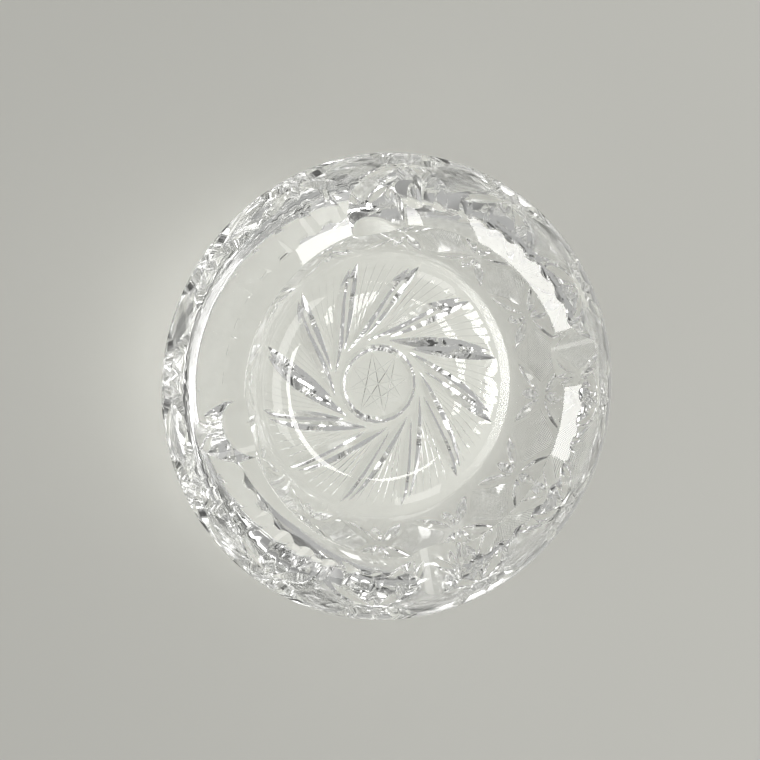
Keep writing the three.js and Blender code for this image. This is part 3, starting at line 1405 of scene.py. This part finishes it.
@dataclass
class Studio:
    """Pale floor, soft lights, dim surroundings and the colour transform.

    Attributes:
        camera_turn: degrees the camera stands round the dish's axis.
        floor_reach: half the side of the floor, in metres.
        floor_drop: how far the floor lies under the foot ring.
        floor_colour: of the floor's paint.
        floor_shade: the paint's darkest mottle as a share of that colour.
        boxes: the lights.
        sky: brightness of the surroundings against the sine of the height in the sky.
        sky_colour: tint of the surroundings.
        bounces: how often light is followed from face to face inside the glass.
    """

    camera_turn: float
    floor_reach: float = 3.0
    floor_drop: float = 0.0003
    floor_colour: tuple[float, float, float] = (0.62, 0.62, 0.585)
    floor_shade: float = 0.975
    boxes: tuple[SoftBox, ...] = (
        SoftBox("window_light", (0.640, 0.045, 1.2), 0.25, 0.145, 8.5, 0.0),
        SoftBox("slant_window_light", (0.560, 0.222, 1.2), 0.264, 0.30, 8.5, 41.6),
        SoftBox("small_window_light", (0.252, 0.165, 1.2), 0.156, 0.115, 8.5, 41.6),
        SoftBox("far_light", (1.6, 0.1, 0.95), 1.6, 0.9, 2.6),
        SoftBox("left_light", (-0.5, 1.5, 0.9), 0.8, 0.6, 2.4),
        SoftBox("right_light", (0.2, -1.5, 0.8), 0.6, 0.5, 2.4),
    )
    sky: tuple[tuple[float, float], ...] = ((0.0, 0.10), (0.3, 0.05), (0.6, 0.46), (1.0, 0.44))
    sky_colour: tuple[float, float, float] = (1.0, 1.0, 0.98)
    bounces: int = 24

    def build_floor(self) -> bpy.types.Object:
        """A plain floor just under the foot ring.

        Returns:
            The floor.
        """
        work = bmesh.new()
        bmesh.ops.create_grid(work, x_segments=2, y_segments=2, size=self.floor_reach)
        mesh = bpy.data.meshes.new("floor")
        work.to_mesh(mesh)
        work.free()
        floor = bpy.data.objects.new("floor", mesh)
        floor.location.z = -self.floor_drop
        bpy.context.scene.collection.objects.link(floor)
        material = bpy.data.materials.new("floor_paint")
        material.use_nodes = True
        nodes, links = material.node_tree.nodes, material.node_tree.links
        shader = nodes["Principled BSDF"]
        shader.inputs["Roughness"].default_value = 0.9
        shader.inputs["Specular IOR Level"].default_value = 0.2
        place = nodes.new("ShaderNodeTexCoord")
        mottle = nodes.new("ShaderNodeTexNoise")
        mottle.inputs["Scale"].default_value = 3.0
        mottle.inputs["Detail"].default_value = 4.0
        blend = nodes.new("ShaderNodeValToRGB")
        blend.color_ramp.elements[0].position = 0.3
        blend.color_ramp.elements[0].color = (*(self.floor_shade * c for c in self.floor_colour), 1.0)
        blend.color_ramp.elements[1].position = 0.7
        blend.color_ramp.elements[1].color = (*self.floor_colour, 1.0)
        links.new(place.outputs["Object"], mottle.inputs["Vector"])
        links.new(mottle.outputs["Fac"], blend.inputs["Fac"])
        links.new(blend.outputs["Color"], shader.inputs["Base Color"])
        mesh.materials.append(material)
        return floor

    def build_sky(self) -> None:
        """Dim light from all round, dimmest near the floor."""
        world = bpy.data.worlds.new("studio")
        bpy.context.scene.world = world
        world.use_nodes = True
        nodes, links = world.node_tree.nodes, world.node_tree.links
        place = nodes.new("ShaderNodeTexCoord")
        parts = nodes.new("ShaderNodeSeparateXYZ")
        ramp = nodes.new("ShaderNodeValToRGB")
        stops = ramp.color_ramp.elements
        stops.remove(stops[1])
        for height, value in self.sky:
            stop = stops[0] if height == 0.0 else stops.new(height)
            stop.color = (*(value * c for c in self.sky_colour), 1.0)
        links.new(place.outputs["Generated"], parts.inputs[0])
        links.new(parts.outputs["Z"], ramp.inputs[0])
        links.new(ramp.outputs["Color"], nodes["Background"].inputs["Color"])

    def build(self) -> bpy.types.Object:
        """Makes everything round the dish and returns the floor.

        Returns:
            The floor.
        """
        self.build_sky()
        for box in self.boxes:
            box.build(self.camera_turn)
        scene = bpy.context.scene
        scene.view_settings.view_transform = "Standard"
        scene.cycles.max_bounces = self.bounces
        scene.cycles.transmission_bounces = self.bounces
        scene.cycles.glossy_bounces = self.bounces
        return self.build_floor()


@dataclass
class Viewpoint:
    """The camera: above the dish, a little to one side, and rolled.

    Attributes:
        outer_radius: of the dish, in metres.
        widest_height: level of its widest circle, in metres.
        tilt: degrees between the dish's axis and the line of sight.
        turn: degrees the camera stands round the dish's axis.
        roll: degrees in the frame between its right and the way the axis leans.
        distance: from the middle of the widest circle, in metres.
        fill: the widest circle's diameter as a share of the frame's width.
        off_centre: how far right of and above the frame's middle the dish sits, as shares of its width.
        sensor: width of the camera's sensor in millimetres.
    """

    outer_radius: float
    widest_height: float
    tilt: float = 17.0
    turn: float = -27.5
    roll: float = -16.2
    distance: float = 0.42
    fill: float = 0.61579
    off_centre: tuple[float, float] = (0.008684, -0.008289)
    sensor: float = 36.0

    def build(self) -> bpy.types.Object:
        """Makes the camera and puts the dish's outline where it belongs in the frame.

        Returns:
            The camera.
        """
        tilt, roll = math.radians(self.tilt), math.radians(self.roll)
        turn = Matrix.Rotation(math.radians(self.turn), 3, "Z")
        back = turn @ Vector((-math.sin(tilt), 0.0, math.cos(tilt)))
        lean = turn @ Vector((math.cos(tilt), 0.0, math.sin(tilt)))
        side = back.cross(lean)
        right = lean * math.cos(roll) - side * math.sin(roll)
        up = lean * math.sin(roll) + side * math.cos(roll)
        pose = Matrix((right, up, back)).transposed().to_4x4()
        pose.translation = Vector((0.0, 0.0, self.widest_height)) + back * self.distance
        data = bpy.data.cameras.new("camera")
        data.sensor_width = self.sensor
        focal = self.fill * self.distance / (2 * self.outer_radius)
        data.lens = focal * self.sensor
        inverse = pose.inverted()
        outline = []
        for degree in range(360):
            spot = polar(self.outer_radius, degree)
            spot.z = self.widest_height
            seen = inverse @ spot
            outline.append((-seen.x / seen.z * focal, -seen.y / seen.z * focal))
        across = [p[0] for p in outline]
        upward = [p[1] for p in outline]
        data.shift_x = (max(across) + min(across)) / 2 - self.off_centre[0]
        data.shift_y = (max(upward) + min(upward)) / 2 - self.off_centre[1]
        camera = bpy.data.objects.new("camera", data)
        camera.matrix_world = pose
        bpy.context.scene.collection.objects.link(camera)
        bpy.context.scene.camera = camera
        return camera


def main() -> None:
    """Builds the studio and the dish."""
    logging.basicConfig(level=logging.INFO, format="%(name)s: %(message)s")
    low, high = (Vector(corner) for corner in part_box(NODE))
    dish = CutCrystalDish(outer_radius=(high.x - low.x) / 2 / MM, height=(high.z - low.z) / MM)
    viewpoint = Viewpoint(dish.outer_radius * MM, dish.blank.widest_height * MM)
    viewpoint.build()
    Studio(viewpoint.turn).build()
    glass = dish.build()
    LOG.info("%s: %d faces, %d corners", glass.name, len(glass.data.polygons), len(glass.data.vertices))
    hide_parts(NODE)
    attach(glass, BODY)
    bpy.context.view_layer.update()


if __name__ == "__main__":
    main()
